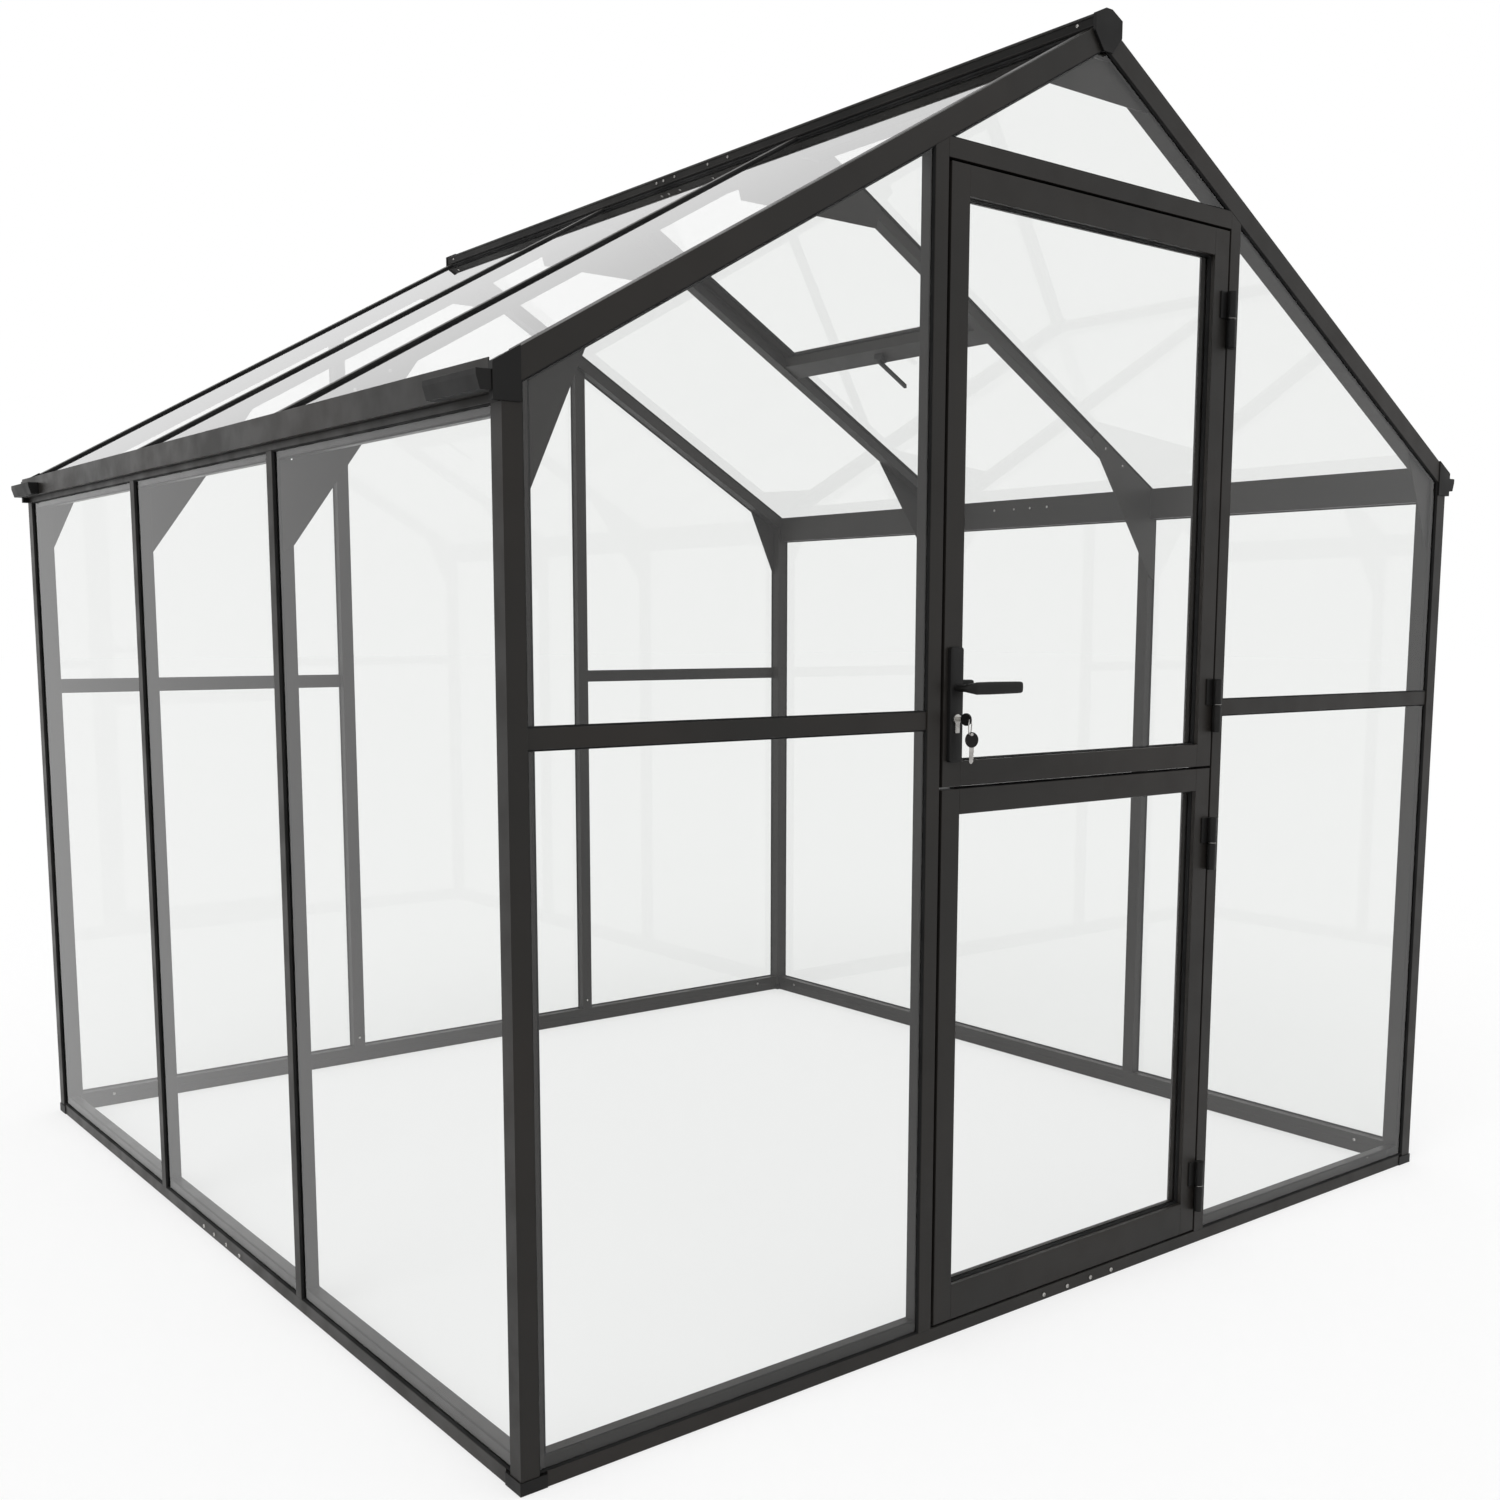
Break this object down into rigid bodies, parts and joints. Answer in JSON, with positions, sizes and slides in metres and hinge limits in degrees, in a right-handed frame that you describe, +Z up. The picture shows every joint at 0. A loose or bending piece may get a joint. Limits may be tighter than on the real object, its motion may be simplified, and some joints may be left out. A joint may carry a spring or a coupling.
{
  "type": "glass greenhouse",
  "caption": "Free-standing glass greenhouse with a gable roof, a stable door in two leaves, gutters, a ridge cap and one roof vent.",
  "frame": {"origin": "middle of the plan, on the ground", "axes": "+X along the gables, to the right seen from the door; +Y along the ridge, away from the door; +Z up"},
  "size_m": [2.516, 2.493, 2.3624],
  "materials": {
    "frame_paint": "satin charcoal powder coat",
    "plastic": "matte black",
    "glass": "clear",
    "lock_metal": "satin nickel"
  },
  "bodies": {
    "frame": {"base_front": "frame_paint", "base_back": "frame_paint", "base_left": "frame_paint", "base_right": "frame_paint", "base_corner_caps": "plastic", "corner_posts": "frame_paint", "side_posts": "frame_paint", "door_jambs": "frame_paint", "back_gable_posts": "frame_paint", "door_header": "frame_paint", "mid_rails": "frame_paint", "eave_beams": "frame_paint", "gutters": "frame_paint", "eave_corner_caps": "plastic", "gutter_end_blocks": "plastic", "gable_rafters_left": "frame_paint", "gable_rafters_right": "frame_paint", "inner_rafters": "frame_paint", "ridge_beam": "frame_paint", "ridge_cap": "frame_paint", "ridge_end_caps": "plastic", "gable_plates": "frame_paint", "inner_plates": "frame_paint", "side_panes": "glass", "front_panes": "glass", "back_panes": "glass", "left_roof_panes": "glass", "right_roof_panes": "glass", "vent_sill": "frame_paint", "vent_frame": "frame_paint", "vent_pane": "glass", "vent_handle": "plastic", "frame_hinge_halves": "plastic"},
    "upper_leaf": {"upper_leaf_stiles": "frame_paint", "upper_leaf_rails": "frame_paint", "upper_leaf_pane": "glass", "upper_leaf_hinge_halves": "plastic", "lock_plates": "plastic", "lock_cylinder": "lock_metal"},
    "lower_leaf": {"lower_leaf_stiles": "frame_paint", "lower_leaf_rails": "frame_paint", "lower_leaf_pane": "glass", "lower_leaf_hinge_halves": "plastic"},
    "lever": {"door_lever": "plastic"}
  },
  "joints": [
    {"name": "upper_leaf_hinge", "type": "hinge", "parent": "frame", "child": "upper_leaf", "pos_m": [0.3795, -1.2295, 1.5], "axis": [0, 0, 1], "range_deg": [0, 115]},
    {"name": "lower_leaf_hinge", "type": "hinge", "parent": "frame", "child": "lower_leaf", "pos_m": [0.3795, -1.2295, 0.5], "axis": [0, 0, 1], "range_deg": [0, 115]},
    {"name": "lever_turn", "type": "hinge", "parent": "upper_leaf", "child": "lever", "pos_m": [-0.3505, -1.202, 1.176], "axis": [0, 1, 0], "range_deg": [0, 45], "stiffness_Nm_per_rad": 1.5, "springref_deg": -22.92}
  ]
}
